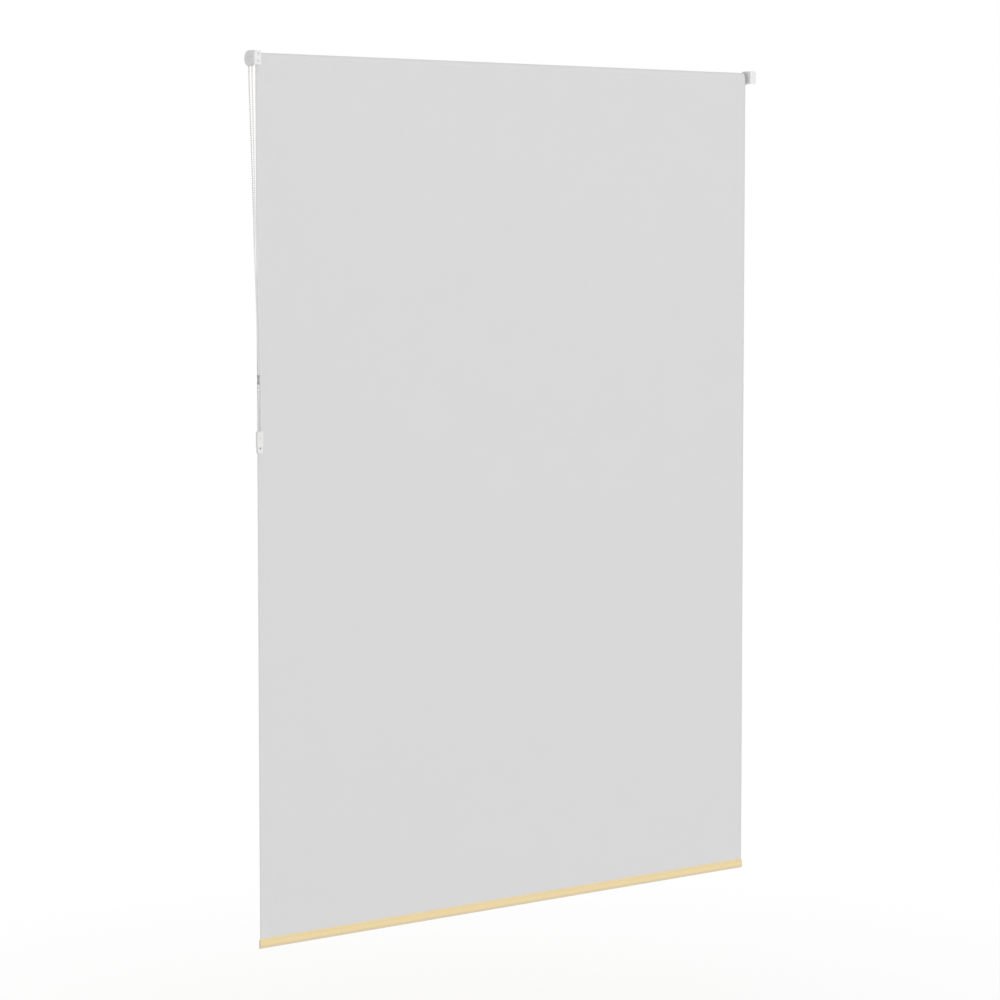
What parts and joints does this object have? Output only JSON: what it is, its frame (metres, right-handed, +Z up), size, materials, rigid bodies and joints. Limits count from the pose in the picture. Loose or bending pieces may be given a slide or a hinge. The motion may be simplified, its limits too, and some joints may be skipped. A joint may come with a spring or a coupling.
{
  "type": "blackout roller blind",
  "caption": "Chain-operated blackout roller blind, fully lowered, with wall brackets, side-chain clutch, spring-pin idle end, weighted hem and wall-fixed chain tensioner.",
  "frame": {"origin": "middle of the clutch-side bracket's wall face", "axes": "+X along the roller towards the clutch end, +Y into the wall, +Z up along the drop"},
  "size_m": [1.6981, 0.0473, 2.3053],
  "materials": {
    "white_metal": "white powder-coated steel sheet, satin, faint orange peel",
    "white_plastic": "moulded white plastic, fine matt grain",
    "grey_plastic": "moulded light grey plastic",
    "dark_plastic": "moulded dark grey plastic",
    "connector_plastic": "translucent grey plastic, smooth",
    "steel": "bright drawn steel",
    "aluminium": "extruded aluminium, fine lines along its length",
    "blackout_cloth": "blackout cloth: light grey coated back towards the wall, cream woven face towards the room",
    "cream_cloth": "cream woven face of the same cloth, folded round the bar as the hem",
    "cream_plastic": "moulded cream plastic end caps",
    "tape": "double-sided fixing tape"
  },
  "bodies": {
    "wall_fixed": {"clutch_bracket": "white_metal", "idle_bracket": "white_metal", "clutch_housing": "white_plastic", "clutch_cover": "white_plastic", "clutch_core": "white_plastic", "wrap_spring_1": "steel", "wrap_spring_2": "steel", "core_washer": "steel", "core_screw": "steel", "fabric_panel": "blackout_cloth", "chain_top_loop": "white_plastic", "chain_wall_run": "white_plastic", "chain_room_run_upper": "white_plastic", "chain_connector": "connector_plastic", "chain_room_run_middle": "white_plastic", "chain_stop": "white_plastic", "chain_room_run_lower": "white_plastic", "chain_bottom_loop": "white_plastic", "tensioner_body": "white_plastic", "tensioner_cover": "white_plastic", "tensioner_axle": "steel"},
    "roller": {"roller_tube": "aluminium", "adhesive_tape": "tape", "fabric_roll": "blackout_cloth", "drive_plug": "grey_plastic", "chain_wheel": "dark_plastic", "idle_plug": "dark_plastic", "pin_spring": "steel", "spring_retainer": "white_plastic"},
    "hem": {"hem_pocket": "cream_cloth", "hem_bar": "aluminium", "hem_cap_clutch_side": "cream_plastic", "hem_cap_idle_side": "cream_plastic"},
    "pin": {"idle_pin": "steel"},
    "tension_wheel": {"tensioner_wheel": "white_plastic"}
  },
  "joints": [
    {"name": "roller_spin", "type": "hinge", "parent": "wall_fixed", "child": "roller", "pos_m": [-0.00025, -0.0273, -0.0018], "axis": [1, 0, 0], "range_deg": [0, 6516]},
    {"name": "hem_raise", "type": "slide", "parent": "wall_fixed", "child": "hem", "axis": [0, 0, 1], "range_m": [0, 2.215], "deforming": ["fabric_panel"]},
    {"name": "tension_wheel_spin", "type": "hinge", "parent": "wall_fixed", "child": "tension_wheel", "pos_m": [-0.00175, -0.00375, -0.9653], "axis": [0, 1, 0], "range_deg": [0, 8688]},
    {"name": "pin_slide", "type": "slide", "parent": "roller", "child": "pin", "axis": [1, 0, 0], "range_m": [0, 0.005], "stiffness_N_per_m": 800, "springref_m": -0.004, "deforming": ["pin_spring"]}
  ],
  "couplings": [
    {"joint": "hem_raise", "follows": "roller_spin", "m_per_rad": 0.019477},
    {"joint": "tension_wheel_spin", "follows": "roller_spin", "ratio": 1.3333}
  ]
}
